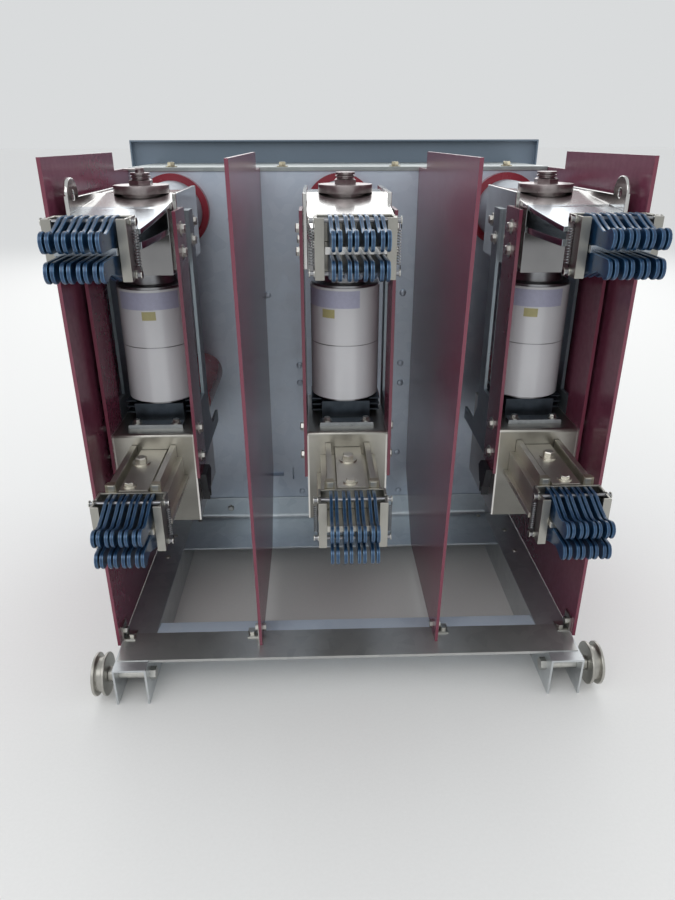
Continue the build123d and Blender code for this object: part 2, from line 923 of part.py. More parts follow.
def make_levers():
    """Black moulded drive levers under the struts of the outer poles, each with two thin
    strips below."""
    top = strut_bottom - lever_gap
    bottom = top - lever_height
    lever_near = strut_back - lever_width
    with BuildPart() as levers:
        for x in (pole_places["left"], pole_places["right"]):
            for side in (-1, 1):
                with BuildSketch(Plane.YZ.offset(x + side * lower_head_half)):
                    with BuildLine():
                        Polyline(
                            (lever_near, top),
                            (strut_back - lever_chamfer, top),
                            (strut_back, top - lever_chamfer),
                            (strut_back - lever_chamfer, bottom),
                            (lever_near + lever_chamfer, bottom),
                            close=True,
                        )
                    make_face()
                    with Locations((strut_back - lever_width / 2, bottom - lever_strip_length / 2)):
                        with GridLocations(lever_strip_pitch, 0, 2, 1):
                            Rectangle(lever_strip_thickness, lever_strip_length)
                extrude(amount=side * lever_thickness)
    save(levers.part, "drive_levers")


def make_posts(pole):
    """Two epoxy insulators that carry the heads off the housing: a low round one that holds
    the spigot of the upper head and a long post behind the lower head."""
    x = pole_places[pole]
    with BuildPart() as posts:
        for post_x, z, radius, length in (
            (x, upper_post_z, upper_post_radius, post_flange),
            (x + lower_post_offset, lower_post_z, lower_post_radius, housing_back - head_back),
        ):
            with BuildSketch(Plane.XZ.offset(-housing_back)):
                with Locations((post_x, z)):
                    Circle(radius)
            extrude(amount=length)
    save(posts.part, f"post_insulators_{pole}")


def make_spigots():
    """Round spigots behind the upper heads, each ending on its epoxy insulator."""
    with BuildPart() as spigots:
        with BuildSketch(Plane.XZ.offset(-housing_back + post_flange)):
            for x in pole_places.values():
                with Locations((x, upper_post_z)):
                    Circle(spigot_radius)
        extrude(amount=housing_back - post_flange - head_back)
    save(spigots.part, "head_spigots")


for pole in pole_places:
    make_upper_head(pole)
    make_lower_head(pole)
    make_terminal_disc(pole)
    make_interrupter(pole)
    make_connector(pole)
    make_upper_arm(pole)
    make_lower_arm(pole)
    make_cages(pole)
    make_fingers(pole)
    make_struts(pole)
    make_posts(pole)

make_spigots()
make_supports()
make_levers()
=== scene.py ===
"""Looks for the three-pole draw-out vacuum circuit breaker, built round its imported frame.

Metres, +Z up. The contact fingers point to -Y and the front panel faces +Y.
"""

import math

import bmesh
import bpy
from mathutils import Matrix, Vector


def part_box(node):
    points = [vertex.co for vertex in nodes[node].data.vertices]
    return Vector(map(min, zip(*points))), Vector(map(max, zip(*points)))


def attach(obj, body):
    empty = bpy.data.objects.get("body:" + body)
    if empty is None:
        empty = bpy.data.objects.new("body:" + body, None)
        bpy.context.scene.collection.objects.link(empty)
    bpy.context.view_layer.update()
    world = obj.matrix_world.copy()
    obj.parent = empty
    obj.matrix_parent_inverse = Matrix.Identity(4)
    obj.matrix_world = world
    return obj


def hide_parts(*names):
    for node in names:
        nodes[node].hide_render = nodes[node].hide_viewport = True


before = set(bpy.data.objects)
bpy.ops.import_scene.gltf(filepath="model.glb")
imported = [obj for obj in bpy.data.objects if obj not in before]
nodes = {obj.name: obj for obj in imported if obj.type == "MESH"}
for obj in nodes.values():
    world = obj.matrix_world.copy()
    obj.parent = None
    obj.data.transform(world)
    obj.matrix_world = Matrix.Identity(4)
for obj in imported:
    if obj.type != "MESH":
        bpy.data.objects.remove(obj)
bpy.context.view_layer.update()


# The viewing place: a camera standing off the contact side, a little left of the middle
# pole and looking down on the truck.
camera_place = (-0.03885, -0.9781, 0.6996)
camera_turn_right = 0.031
camera_look_down = 0.426
camera_roll = -0.002

view_data = bpy.data.cameras.new("contact_side_view")
view_data.sensor_fit = "VERTICAL"
view_data.sensor_height = 36.0
view_data.lens = 27.44
camera = bpy.data.objects.new("contact_side_view", view_data)
aim = (
    Matrix.Rotation(-camera_turn_right, 3, "Z")
    @ Matrix.Rotation(math.pi / 2 - camera_look_down, 3, "X")
    @ Matrix.Rotation(camera_roll, 3, "Z")
)
camera.rotation_euler = aim.to_euler()
camera.location = camera_place
bpy.context.collection.objects.link(camera)
bpy.context.scene.camera = camera
bpy.context.scene.view_settings.view_transform = "Standard"


# The floor: a wide sheet of pale matt studio paper under the rails. Far off it has the same
# pale tone as the background, and near by it holds the object's soft shadow.
def linear(code):
    """Turn an sRGB hex colour into a linear one."""
    parts = [int(code[start:start + 2], 16) / 255 for start in (1, 3, 5)]
    toned = [
        part / 12.92 if part <= 0.04045 else ((part + 0.055) / 1.055) ** 2.4
        for part in parts
    ]
    return (*toned, 1.0)


def set_inputs(tree, node, inputs):
    """Set inputs of a node. A socket, or the first output of a node, is linked to its input,
    and a hex colour is turned to linear."""
    for socket, value in inputs.items():
        if isinstance(value, bpy.types.Node):
            value = value.outputs[0]
        if isinstance(value, bpy.types.NodeSocket):
            tree.links.new(value, node.inputs[socket])
        elif isinstance(value, str):
            node.inputs[socket].default_value = linear(value)
        else:
            node.inputs[socket].default_value = value


def add_node(tree, kind, inputs=None, **settings):
    """Add one node, with its settings, input values and links."""
    node = tree.nodes.new(kind)
    for name, value in settings.items():
        setattr(node, name, value)
    set_inputs(tree, node, inputs or {})
    return node


def start_finish(name):
    """Start a material that has one surface shader and coordinates in metres."""
    finish = bpy.data.materials.new(name)
    finish.use_nodes = True
    tree = finish.node_tree
    tree.nodes.clear()
    shader = add_node(tree, "ShaderNodeBsdfPrincipled")
    add_node(tree, "ShaderNodeOutputMaterial", {"Surface": shader})
    place = add_node(tree, "ShaderNodeTexCoord").outputs["Object"]
    return finish, tree, shader, place


floor_half = 60.0
paper_fibre = 0.004  # real fibres are finer: drawn this coarse to show
paper, tree, shader, place = start_finish("matt_studio_paper")
fibre = add_node(tree, "ShaderNodeTexNoise", {"Vector": place, "Scale": 1 / paper_fibre})
tone = add_node(tree, "ShaderNodeMix", {0: fibre, 6: "#e4e3e0", 7: "#e9e8e5"}, data_type="RGBA")
set_inputs(tree, shader, {
    "Base Color": tone.outputs[2], "Roughness": 0.9, "Specular IOR Level": 0.2,
})

form = bmesh.new()
corners = [(-floor_half, -floor_half, 0), (floor_half, -floor_half, 0),
           (floor_half, floor_half, 0), (-floor_half, floor_half, 0)]
form.faces.new([form.verts.new(corner) for corner in corners])
floor_mesh = bpy.data.meshes.new("studio_floor")
form.to_mesh(floor_mesh)
form.free()
floor = bpy.data.objects.new("studio_floor", floor_mesh)
floor_mesh.materials.append(paper)
bpy.context.collection.objects.link(floor)


# Soft studio light: an even bright room, a broad panel behind the housing that shows in the
# flat tops, one above the viewer, and a low fill from each side.
def add_panel(name, place, target, width, height, power):
    """Hang one rectangular light panel that faces a target point."""
    panel_data = bpy.data.lights.new(name, "AREA")
    panel_data.shape = "RECTANGLE"
    panel_data.size = width
    panel_data.size_y = height
    panel_data.energy = power
    panel = bpy.data.objects.new(name, panel_data)
    panel.location = place
    direction = Vector(target) - Vector(place)
    panel.rotation_euler = direction.to_track_quat("-Z", "Y").to_euler()
    panel.visible_camera = False
    bpy.context.collection.objects.link(panel)


light_target = (0, 0, 0.35)
add_panel("panel_behind", (0.2, 3.2, 1.9), light_target, width=3.6, height=2.2, power=38)
add_panel("panel_above_viewer", (-0.8, -2.4, 2.6), light_target, width=2.4, height=1.8, power=20)
add_panel("panel_left", (-2.8, -0.4, 1.2), light_target, width=1.6, height=1.6, power=7)
add_panel("panel_right", (2.8, -0.2, 1.4), light_target, width=1.6, height=1.6, power=9)

sky = bpy.data.worlds.new("studio_sky")
sky.use_nodes = True
tree = sky.node_tree
tree.nodes.clear()
rays = add_node(tree, "ShaderNodeLightPath").outputs
direct = {0: rays["Is Camera Ray"], 1: rays["Is Glossy Ray"]}
either = add_node(tree, "ShaderNodeMath", direct, operation="MAXIMUM")
through = {0: either, 1: rays["Is Transmission Ray"]}
shown = add_node(tree, "ShaderNodeMath", through, operation="MAXIMUM")
room = add_node(tree, "ShaderNodeBackground", {"Color": "#eef1f5", "Strength": 1.0})
backdrop = add_node(tree, "ShaderNodeBackground", {"Color": "#d9dbdc", "Strength": 1.0})
both = add_node(tree, "ShaderNodeMixShader", {0: shown, 1: room, 2: backdrop})
add_node(tree, "ShaderNodeOutputWorld", {"Surface": both})
bpy.context.scene.world = sky


# The truck: two folded channels and two cross members of steel sheet, galvanised before
# bending, so that soft zinc spangles show. The rails are drilled and screwed on top. The
# other pieces stand at the poles and heights that are read here from the frame.
poles = {}
for pole in ("left", "middle", "right"):
    low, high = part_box(f"lower_head_{pole}")
    poles[pole] = (low[0] + high[0]) / 2
head_reach = 0.092
pole_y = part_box("lower_head_middle")[0][1] + head_reach
cage_low, cage_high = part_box("finger_cages_middle")
cage_half_height = 0.029
lower_z = cage_low[2] + cage_half_height
upper_z = cage_high[2] - cage_half_height
rail_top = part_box("rail_left")[1][2]
housing_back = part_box("mechanism_housing")[0][1]


def make_galvanised(name, dark, light, roughness, lip=None):
    """Hot-dip galvanised sheet: broad pale spangles, a soft sheen under a thin dull oxide
    film, and fine rolling lines. Ahead of the start of a lip given as (start, dark, light),
    the sheet is painted a paler tone and made less metallic: a painted reflection of the
    bright sky."""
    spangle = 0.016
    rolling = 0.0012  # real rolling lines are finer: drawn this coarse to show
    cloud_share = 0.55
    metal = 0.8
    painted_lip_metal = 0.2
    finish, tree, shader, place = start_finish(name)
    crystals = add_node(tree, "ShaderNodeTexVoronoi", {"Vector": place, "Scale": 1 / spangle})
    cloud = add_node(
        tree, "ShaderNodeTexNoise", {"Vector": place, "Scale": 1 / (6 * spangle), "Detail": 3.0},
    )
    patch = add_node(
        tree, "ShaderNodeMix", {0: cloud_share, 2: crystals.outputs["Color"], 3: cloud},
    )
    tone = add_node(tree, "ShaderNodeMix", {0: patch, 6: dark, 7: light}, data_type="RGBA")
    # Painted reflection: ahead of the lip's start the sheet is painted a paler bluish tone and
    # made less metallic, standing in for the bright sky that it reflects.
    if lip:
        start, reflection_dark, reflection_light = lip
        along = add_node(tree, "ShaderNodeSeparateXYZ", {0: place}).outputs[1]
        on_lip = add_node(
            tree, "ShaderNodeMath", {0: along, 1: start}, operation="GREATER_THAN",
        )
        painted_reflection = add_node(
            tree, "ShaderNodeMix", {0: patch, 6: reflection_dark, 7: reflection_light}, data_type="RGBA",
        )
        tone = add_node(
            tree, "ShaderNodeMix", {0: on_lip, 6: tone.outputs[2], 7: painted_reflection.outputs[2]},
            data_type="RGBA",
        )
        metal = add_node(
            tree, "ShaderNodeMapRange",
            {"Value": on_lip, "To Min": metal, "To Max": painted_lip_metal},
        )
    gloss = add_node(
        tree, "ShaderNodeMapRange",
        {"Value": patch, "To Min": roughness - 0.05, "To Max": roughness + 0.08},
    )
    lines = add_node(tree, "ShaderNodeMapping", {"Vector": place, "Scale": (0.05, 1.0, 1.0)})
    grain = add_node(tree, "ShaderNodeTexNoise", {"Vector": lines, "Scale": 1 / rolling})
    relief = add_node(
        tree, "ShaderNodeBump", {"Height": grain, "Strength": 0.12, "Distance": 0.0004},
    )
    set_inputs(tree, shader, {
        "Base Color": tone.outputs[2], "Metallic": metal, "Roughness": gloss, "Normal": relief,
    })
    return finish


def dress(names, finish):
    """Give CAD nodes a finish in every one of their material slots."""
    for name in names:
        for held in nodes[name].material_slots:
            held.material = finish


def soften(names, width):
    """Round the sharp sheet edges of CAD nodes by a small bevel, so that they catch light."""
    for name in names:
        join = nodes[name].modifiers.new("join_corners", "WELD")
        join.merge_threshold = 0.00001
        bevel = nodes[name].modifiers.new("soft_edges", "BEVEL")
        bevel.width = width
        bevel.segments = 2
        bevel.limit_method = "ANGLE"
        bevel.angle_limit = math.radians(40)
        bevel.use_clamp_overlap = True
        crease = nodes[name].modifiers.new("flat_faces", "EDGE_SPLIT")
        crease.split_angle = math.radians(32)


plate_lip = 0.029
plate_low, plate_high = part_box("rear_cross_plate")
plate_crease = plate_high[1] - plate_lip
truck_zinc = make_galvanised("galvanised_truck_sheet", "#b4b9bc", "#d9dcdd", 0.32)
cross_zinc = make_galvanised("galvanised_cross_members", "#bcc7cf", "#dfe7ec", 0.34)
# The lip of the rear cross plate, ahead of its crease, is painted pale blue: a painted reflection
# of the bright sky.
plate_zinc = make_galvanised(
    "galvanised_cross_plate", "#aeafae", "#c7c8c5", 0.30, (plate_crease, "#c9d8e8", "#dce7f2"),
)
dress(("rail_left", "rail_right"), truck_zinc)
dress(("front_cross_angle",), cross_zinc)
dress(("rear_cross_plate",), plate_zinc)
soften(("rail_left", "rail_right", "rear_cross_plate"), 0.0006)
soften(("front_cross_angle",), 0.0011)


# The bend of the front cross angle: the galvanised sheet turns up against the housing in a
# small round, pressed in the folding machine, that shows as a bright line. The flat of the
# rear cross plate is one sheet that laps over both rails.
def add_skin(form, loops):
    """Add a closed form whose skin runs through a row of loops of points."""
    rows = [[form.verts.new(point) for point in loop] for loop in loops]
    for near, far in zip(rows, rows[1:]):
        for step in range(len(near)):
            after = (step + 1) % len(near)
            form.faces.new((near[step], near[after], far[after], far[step]))
    form.faces.new(list(reversed(rows[0])))
    form.faces.new(rows[-1])


def make_piece(name, form, finish, body="root"):
    """Turn a form into an object that rides on a body of the frame."""
    bmesh.ops.recalc_face_normals(form, faces=form.faces)
    mesh = bpy.data.meshes.new(name)
    form.to_mesh(mesh)
    form.free()
    mesh.shade_smooth()
    mesh.set_sharp_from_angle(angle=math.radians(35))
    mesh.materials.append(finish)
    piece = bpy.data.objects.new(name, mesh)
    bpy.context.collection.objects.link(piece)
    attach(piece, body)
    return piece


rail_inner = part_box("rail_right")[0][0]
rail_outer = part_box("rail_right")[1][0]
cross_sheet = 0.003
leg_face = housing_back - cross_sheet
bend_radius = 0.0070
bend_steps = 6
section = [(leg_face, rail_top)]
for step in range(bend_steps + 1):
    angle = math.pi / 2 * step / bend_steps
    section.append((
        leg_face - bend_radius + bend_radius * math.sin(angle),
        rail_top + bend_radius - bend_radius * math.cos(angle),
    ))
form = bmesh.new()
add_skin(form, [[(side * rail_inner, y, z) for y, z in section] for side in (-1, 1)])
make_piece("cross_angle_bend", form, cross_zinc)

lap_top = rail_top + 0.0012
lap_half_span = rail_outer - 0.003
section = [(plate_low[1], rail_top), (plate_crease, rail_top),
           (plate_crease, lap_top), (plate_low[1], lap_top)]
form = bmesh.new()
add_skin(form, [[(side * lap_half_span, y, z) for y, z in section] for side in (-1, 1)])
make_piece("cross_plate_lap", form, plate_zinc)


# Small fixings: hexagon bolts, nuts and screws of carbon steel, zinc plated. The lid's bolts
# are passivated to a faint yellow. Screws stand in the truck's rails and front angle.
def make_plated_steel(name, dark, light):
    """Plated or drawn steel: one metal tone that drifts over a few millimetres."""
    drift = 0.006
    finish, tree, shader, place = start_finish(name)
    cloud = add_node(tree, "ShaderNodeTexNoise", {"Vector": place, "Scale": 1 / drift})
    tone = add_node(tree, "ShaderNodeMix", {0: cloud, 6: dark, 7: light}, data_type="RGBA")
    gloss = add_node(tree, "ShaderNodeMapRange", {"Value": cloud, "To Min": 0.22, "To Max": 0.42})
    set_inputs(tree, shader, {
        "Base Color": tone.outputs[2], "Metallic": 1.0, "Roughness": gloss,
    })
    return finish


def add_turned(form, foot, axis, rings, sides=32):
    """Add a closed form: rings of (radius, height) stacked along an axis from its foot."""
    turn = Vector((0, 0, 1)).rotation_difference(Vector(axis)).to_matrix()
    loops = []
    for radius, height in rings:
        loop = []
        for step in range(sides):
            angle = 2 * math.pi * (step + 0.5) / sides
            point = Vector((radius * math.cos(angle), radius * math.sin(angle), height))
            loop.append(Vector(foot) + turn @ point)
        loops.append(loop)
    add_skin(form, loops)


def add_bolt(form, foot, axis, flats, head, washer=0.0):
    """Add a hexagon head with chamfered corners, on a washer where one is given."""
    if washer:
        add_turned(form, foot, axis, [(flats * 0.86, 0), (flats * 0.86, washer)], 24)
    corner = flats / math.sqrt(3)
    rings = [(corner, washer), (corner, washer + 0.78 * head), (0.84 * corner, washer + head)]
    add_turned(form, foot, axis, rings, 6)


def add_button(form, foot, axis, radius, height):
    """Add a low round screw head with a rolled edge."""
    rings = [(radius, 0), (radius, 0.4 * height),
             (0.85 * radius, 0.8 * height), (0.5 * radius, height)]
    add_turned(form, foot, axis, rings, 20)


bright_zinc = make_plated_steel("clear_zinc_plate", "#b4b4b0", "#d6d5cf")
yellow_zinc = make_plated_steel("yellow_zinc_plate", "#a49a7e", "#c4c0ad")
dress(("barrier_brackets", "wheel_axles"), bright_zinc)

# Rail screws, each by its place across, its place along, its radius and its height.
rail_screws = [(0.294, 0.066, 0.0042, 0.0022), (0.294, 0.134, 0.0042, 0.0022),
               (0.258, 0.186, 0.0040, 0.0020)]
angle_bolt_rise = 0.020
form = bmesh.new()
for side in (-1, 1):
    for x, y, radius, height in rail_screws:
        add_button(form, (side * x, pole_y + y, rail_top), (0, 0, 1), radius, height)
for x in (-0.201, 0.276):
    add_bolt(form, (x, leg_face, rail_top + angle_bolt_rise), (0, -1, 0), flats=0.010, head=0.004)
make_piece("truck_screws", form, bright_zinc)


# The wheels: turned steel rollers with a groove between two rounded flanges, each spinning
# on its own stub axle. The lathe leaves fine rings, and a light oil film stains them.
def make_turned_steel(name, centre_y, centre_z):
    """Turned mild steel: grey with fine rings round the axle and a light oil film."""
    ring_pitch = 0.0016  # real lathe rings are finer: drawn this coarse to show
    oil_stain = 0.012
    finish, tree, shader, place = start_finish(name)
    split = add_node(tree, "ShaderNodeSeparateXYZ", {0: place}).outputs
    along = add_node(tree, "ShaderNodeMath", {0: split[1], 1: centre_y}, operation="SUBTRACT")
    up = add_node(tree, "ShaderNodeMath", {0: split[2], 1: centre_z}, operation="SUBTRACT")
    offset = add_node(tree, "ShaderNodeCombineXYZ", {0: 0.0, 1: along, 2: up})
    reach = add_node(
        tree, "ShaderNodeVectorMath", {0: offset}, operation="LENGTH",
    ).outputs["Value"]
    both = add_node(tree, "ShaderNodeMath", {0: reach, 1: split[0]}, operation="ADD")
    phase = add_node(
        tree, "ShaderNodeMath", {0: both, 1: 2 * math.pi / ring_pitch}, operation="MULTIPLY",
    )
    rings = add_node(tree, "ShaderNodeMath", {0: phase}, operation="SINE")
    relief = add_node(
        tree, "ShaderNodeBump", {"Height": rings, "Strength": 0.25, "Distance": 0.0001},
    )
    stain = add_node(
        tree, "ShaderNodeTexNoise", {"Vector": place, "Scale": 1 / oil_stain, "Detail": 4.0},
    )
    tone = add_node(
        tree, "ShaderNodeMix", {0: stain, 6: "#96948e", 7: "#c9c7c0"}, data_type="RGBA",
    )
    gloss = add_node(tree, "ShaderNodeMapRange", {"Value": stain, "To Min": 0.24, "To Max": 0.46})
    set_inputs(tree, shader, {
        "Base Color": tone.outputs[2], "Metallic": 1.0, "Roughness": gloss, "Normal": relief,
    })
    return finish


for end in ("rear", "front"):
    low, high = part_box(f"wheel_{end}_left")
    centre_y, centre_z = (low[1] + high[1]) / 2, (low[2] + high[2]) / 2
    turned = make_turned_steel(f"turned_steel_{end}", centre_y, centre_z)
    dress((f"wheel_{end}_left", f"wheel_{end}_right"), turned)


# The mechanism housing: a closed box of bent galvanised sheet, duller than the truck, with
# a lid whose lip folds over the back. Button screws and bolts close its sheets.
housing_zinc = make_galvanised("galvanised_housing_sheet", "#bfccdb", "#dbe5f0", 0.42)
lid_zinc = make_galvanised("galvanised_lid_sheet", "#979f9f", "#b6bcbb", 0.36)
dress(("mechanism_housing",), housing_zinc)
dress(("housing_lid",), lid_zinc)
soften(("housing_lid",), 0.0006)

form = bmesh.new()
back_screws = [
    (-0.068, 0.292), (-0.068, 0.261), (0.103, 0.294), (0.104, 0.259), (0.103, 0.127),
    (-0.069, 0.051), (0.108, 0.050), (-0.117, 0.411), (0.103, 0.413),
    (-0.167, 0.563), (-0.169, 0.528),
]
for x, rise in back_screws:
    add_button(form, (x, housing_back, rail_top + rise), (0, -1, 0), radius=0.0052, height=0.0028)
make_piece("housing_screws", form, housing_zinc)

form = bmesh.new()
lid_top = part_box("housing_lid")[1][2]
lid_bolt_y = housing_back + 0.012
for x in (-0.255, -0.087, 0.085, 0.257):
    add_bolt(form, (x, lid_bolt_y, lid_top), (0, 0, 1), flats=0.010, head=0.0055, washer=0.0014)
make_piece("lid_bolts", form, yellow_zinc)


# The front panel: folded steel sheet wider and taller than the housing, sprayed a dark
# slate enamel that dries with a fine orange-peel texture.
orange_peel = 0.0025
spray_haze = 0.12
slate, tree, shader, place = start_finish("slate_enamel")
cells = add_node(
    tree, "ShaderNodeTexNoise", {"Vector": place, "Scale": 1 / orange_peel, "Detail": 1.0},
)
haze = add_node(
    tree, "ShaderNodeTexNoise", {"Vector": place, "Scale": 1 / spray_haze, "Detail": 3.0},
)
tone = add_node(tree, "ShaderNodeMix", {0: haze, 6: "#5e6b78", 7: "#6c7a87"}, data_type="RGBA")
relief = add_node(tree, "ShaderNodeBump", {"Height": cells, "Strength": 0.3, "Distance": 0.0002})
set_inputs(tree, shader, {
    "Base Color": tone.outputs[2], "Roughness": 0.42, "IOR": 1.5, "Normal": relief,
})
dress(("front_panel",), slate)
soften(("front_panel",), 0.0010)


# The phase barriers and the struts: half-gloss sheets of wine red glass-mat polyester, which
# all stand across X. Chopped glass shows as a faint mottle, and the sawn edges differ.
mat_clump = 0.009
mat_strand = 0.0016
laminate, tree, shader, place = start_finish("glass_mat_polyester")
clump = add_node(
    tree, "ShaderNodeTexNoise", {"Vector": place, "Scale": 1 / mat_clump, "Detail": 4.0},
)
strands = add_node(
    tree, "ShaderNodeTexNoise", {"Vector": place, "Scale": 1 / mat_strand, "Distortion": 1.5},
)
face = add_node(tree, "ShaderNodeMix", {0: clump, 6: "#622d40", 7: "#7c4356"}, data_type="RGBA")
facing = add_node(tree, "ShaderNodeTexCoord").outputs["Normal"]
across = add_node(tree, "ShaderNodeSeparateXYZ", {0: facing}).outputs[0]
square = add_node(tree, "ShaderNodeMath", {0: across}, operation="ABSOLUTE")
is_edge = add_node(tree, "ShaderNodeMath", {0: square, 1: 0.5}, operation="LESS_THAN")
tone = add_node(
    tree, "ShaderNodeMix", {0: is_edge, 6: face.outputs[2], 7: "#763849"}, data_type="RGBA",
)
gloss = add_node(tree, "ShaderNodeMapRange", {"Value": clump, "To Min": 0.21, "To Max": 0.25})
relief = add_node(
    tree, "ShaderNodeBump", {"Height": strands, "Strength": 0.02, "Distance": 0.00005},
)
set_inputs(tree, shader, {
    "Base Color": tone.outputs[2], "Roughness": gloss, "IOR": 1.52, "Normal": relief,
})
for side in ("left", "right"):
    dress((f"outer_barrier_{side}", f"inner_barrier_{side}"), laminate)
dress([f"insulating_struts_{pole}" for pole in poles], laminate)


# The terminal heads and contact arms: copper plate, milled and silver plated. The plate is
# bright and mirror-like when new, with a thin warm tarnish and faint rubbing marks.
def make_silver_plate(
    name, dark, light, roughness, dull=None, rim_reach=0.0, level_limit=2.0, foot=None,
):
    """Silver or nickel plate: near white metal with a drifting straw-coloured tarnish. Where
    dull tones are given, they paint shade inside the rims that stand rim_reach from the
    middle of each pole, on faces whose normal rises less than level_limit, and the bright
    rims left outside are painted highlights. Between the two heights of a foot the painted
    shade grows darker towards the bottom."""
    tarnish = 0.035
    rub = 0.0009  # real rubbing marks are finer: drawn this coarse to show
    foot_shade = 0.42
    pole_pitch = 0.254
    finish, tree, shader, place = start_finish(name)
    cloud = add_node(
        tree, "ShaderNodeTexNoise", {"Vector": place, "Scale": 1 / tarnish, "Detail": 5.0},
    )
    tone = add_node(tree, "ShaderNodeMix", {0: cloud, 6: dark, 7: light}, data_type="RGBA")
    # Painted shade: a darker tone inside the rims on upright faces, with the bright rims left as
    # painted highlights.
    if dull:
        split = add_node(tree, "ShaderNodeSeparateXYZ", {0: place}).outputs
        from_pole = add_node(
            tree, "ShaderNodeMath", {0: split[0], 1: pole_pitch / 2, 2: -pole_pitch / 2},
            operation="WRAP",
        )
        reach = add_node(tree, "ShaderNodeMath", {0: from_pole}, operation="ABSOLUTE")
        inside = add_node(tree, "ShaderNodeMath", {0: reach, 1: rim_reach}, operation="LESS_THAN")
        facing = add_node(tree, "ShaderNodeTexCoord").outputs["Normal"]
        upward = add_node(tree, "ShaderNodeSeparateXYZ", {0: facing}).outputs[2]
        rise = add_node(tree, "ShaderNodeMath", {0: upward}, operation="ABSOLUTE")
        upright = add_node(
            tree, "ShaderNodeMath", {0: rise, 1: level_limit}, operation="LESS_THAN",
        )
        painted_shade_mask = add_node(tree, "ShaderNodeMath", {0: inside, 1: upright}, operation="MULTIPLY")
        painted_shade_tone = add_node(
            tree, "ShaderNodeMix", {0: cloud, 6: dull[0], 7: dull[1]}, data_type="RGBA",
        )
        # Painted shade: darker towards the bottom between the two heights of the foot.
        if foot:
            painted_foot_shade = add_node(
                tree, "ShaderNodeMapRange",
                {"Value": split[2], "From Min": foot[0], "From Max": foot[1],
                 "To Min": foot_shade, "To Max": 1.0},
            )
            painted_shade_tone = add_node(
                tree, "ShaderNodeMix", {0: 1.0, 6: painted_shade_tone.outputs[2], 7: painted_foot_shade},
                data_type="RGBA", blend_type="MULTIPLY",
            )
        tone = add_node(
            tree, "ShaderNodeMix", {0: painted_shade_mask, 6: tone.outputs[2], 7: painted_shade_tone.outputs[2]},
            data_type="RGBA",
        )
    gloss = add_node(
        tree, "ShaderNodeMapRange",
        {"Value": cloud, "To Min": roughness + 0.10, "To Max": roughness},
    )
    lines = add_node(tree, "ShaderNodeMapping", {"Vector": place, "Scale": (1.0, 0.06, 1.0)})
    marks = add_node(tree, "ShaderNodeTexNoise", {"Vector": lines, "Scale": 1 / rub})
    relief = add_node(
        tree, "ShaderNodeBump", {"Height": marks, "Strength": 0.08, "Distance": 0.0002},
    )
    set_inputs(tree, shader, {
        "Base Color": tone.outputs[2], "Metallic": 1.0, "Roughness": gloss, "Normal": relief,
    })
    return finish


bright_silver = make_silver_plate("bright_silver_plate", "#bdbdbb", "#dedddb", 0.10)
# The outer arms are painted darker and bluer than the middle one: painted shade.
outer_arm_shaded_silver = make_silver_plate("outer_arm_silver_painted_shade", "#949ca4", "#b4bcc4", 0.13)
# The upper heads: upright faces painted darker than the bright tops, with bright rims; painted
# shade and painted highlights.
upper_silver = make_silver_plate(
    "upper_head_silver_painted_shade", "#bdbdbb", "#dedddb", 0.10, ("#7b7b7c", "#919090"),
    rim_reach=0.0478, level_limit=0.5,
)
# The lower heads: painted shade inside bright rims that are painted highlights, growing darker
# towards the foot.
head_silver = make_silver_plate(
    "lower_head_silver_painted_shade", "#cfcdc8", "#e6e4e0", 0.28, ("#9c9a93", "#bdbbb4"),
    rim_reach=0.0508, foot=(lower_z - 0.030, lower_z + 0.040),
)
arm_silver = make_silver_plate("handled_silver_plate", "#c6c3ba", "#e4e1d8", 0.30)
for pole in poles:
    dress((f"upper_arm_{pole}",), bright_silver if pole == "middle" else outer_arm_shaded_silver)
    dress((f"upper_head_{pole}",), upper_silver)
    dress((f"lower_head_{pole}",), head_silver)
    dress((f"lower_arm_{pole}",), arm_silver)
    soften((f"upper_head_{pole}",), 0.0008)
    soften((f"lower_head_{pole}",), 0.0014)
    soften((f"upper_arm_{pole}", f"lower_arm_{pole}"), 0.0006)


# The terminal discs: turned steel spools with a wide plate, clamped on the upper heads by a
# nut, a spacer and a washer. They are clear zinc plated. On the left, a short stud end
# stands out of the disc, and a loose washer lies beside it.
disc_nodes = [f"terminal_disc_{pole}" for pole in poles]
disc_zinc = make_plated_steel("zinc_plated_disc", "#8f8687", "#b8afae")
dress(disc_nodes, disc_zinc)
soften(disc_nodes, 0.0008)

top_washer = 0.0025
hub_height = 0.0115
spacer_profile = [(0.0115, 0), (0.0125, 0.0006), (0.0125, 0.0018), (0.0115, 0.0024)]
stud_profile = [(0.0055, 0), (0.0055, 0.0062), (0.0045, 0.0068)]
loose_profile = [(0.0120, 0), (0.0128, 0.0004), (0.0128, 0.0014), (0.0120, 0.0018)]
form = bmesh.new()
for pole, x in poles.items():
    disc_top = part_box(f"terminal_disc_{pole}")[1][2]
    hub_bottom = disc_top - top_washer - hub_height
    add_bolt(form, (x, pole_y, hub_bottom), (0, 0, 1), flats=0.026, head=0.0065)
    add_turned(form, (x, pole_y, hub_bottom + 0.0080), (0, 0, 1), spacer_profile)
add_turned(form, (poles["left"], pole_y, disc_top - 0.001), (0, 0, 1), stud_profile, sides=24)
add_turned(form, (poles["left"] - 0.008, pole_y, disc_top + 0.0030), (0, 0, 1), loose_profile)
make_piece("terminal_disc_nuts", form, disc_zinc)


